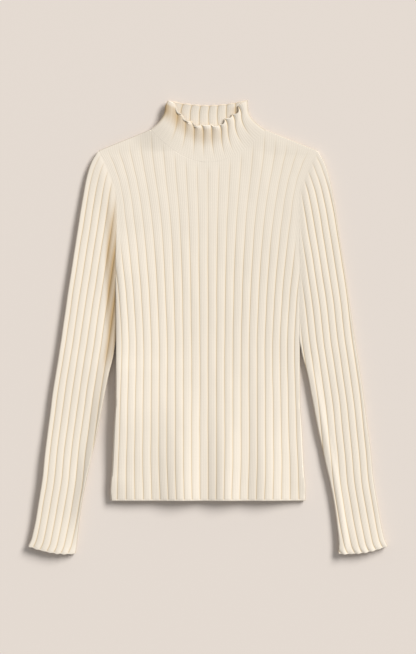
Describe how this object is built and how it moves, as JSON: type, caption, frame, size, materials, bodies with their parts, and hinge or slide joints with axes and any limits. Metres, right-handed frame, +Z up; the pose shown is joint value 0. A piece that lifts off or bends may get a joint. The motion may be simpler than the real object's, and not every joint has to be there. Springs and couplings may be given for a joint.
{
  "type": "ribbed mock neck top",
  "caption": "Long-sleeved knitted top with a short stand-up collar, laid flat on its back; lengthwise ribs, round side folds and fluted edges at collar and cuffs.",
  "frame": {"origin": "on the ground, under the middle of the garment's outline", "axes": "+X across the garment to the wearer's left, +Y from hem to collar, +Z up out of the ground"},
  "size_m": [0.5748, 0.7256, 0.0094],
  "materials": {
    "rib_knit": "matt cream rib knit"
  },
  "bodies": {
    "root": {"back": "rib_knit", "front": "rib_knit", "sleeve_left": "rib_knit", "sleeve_right": "rib_knit", "collar": "rib_knit"}
  },
  "joints": []
}
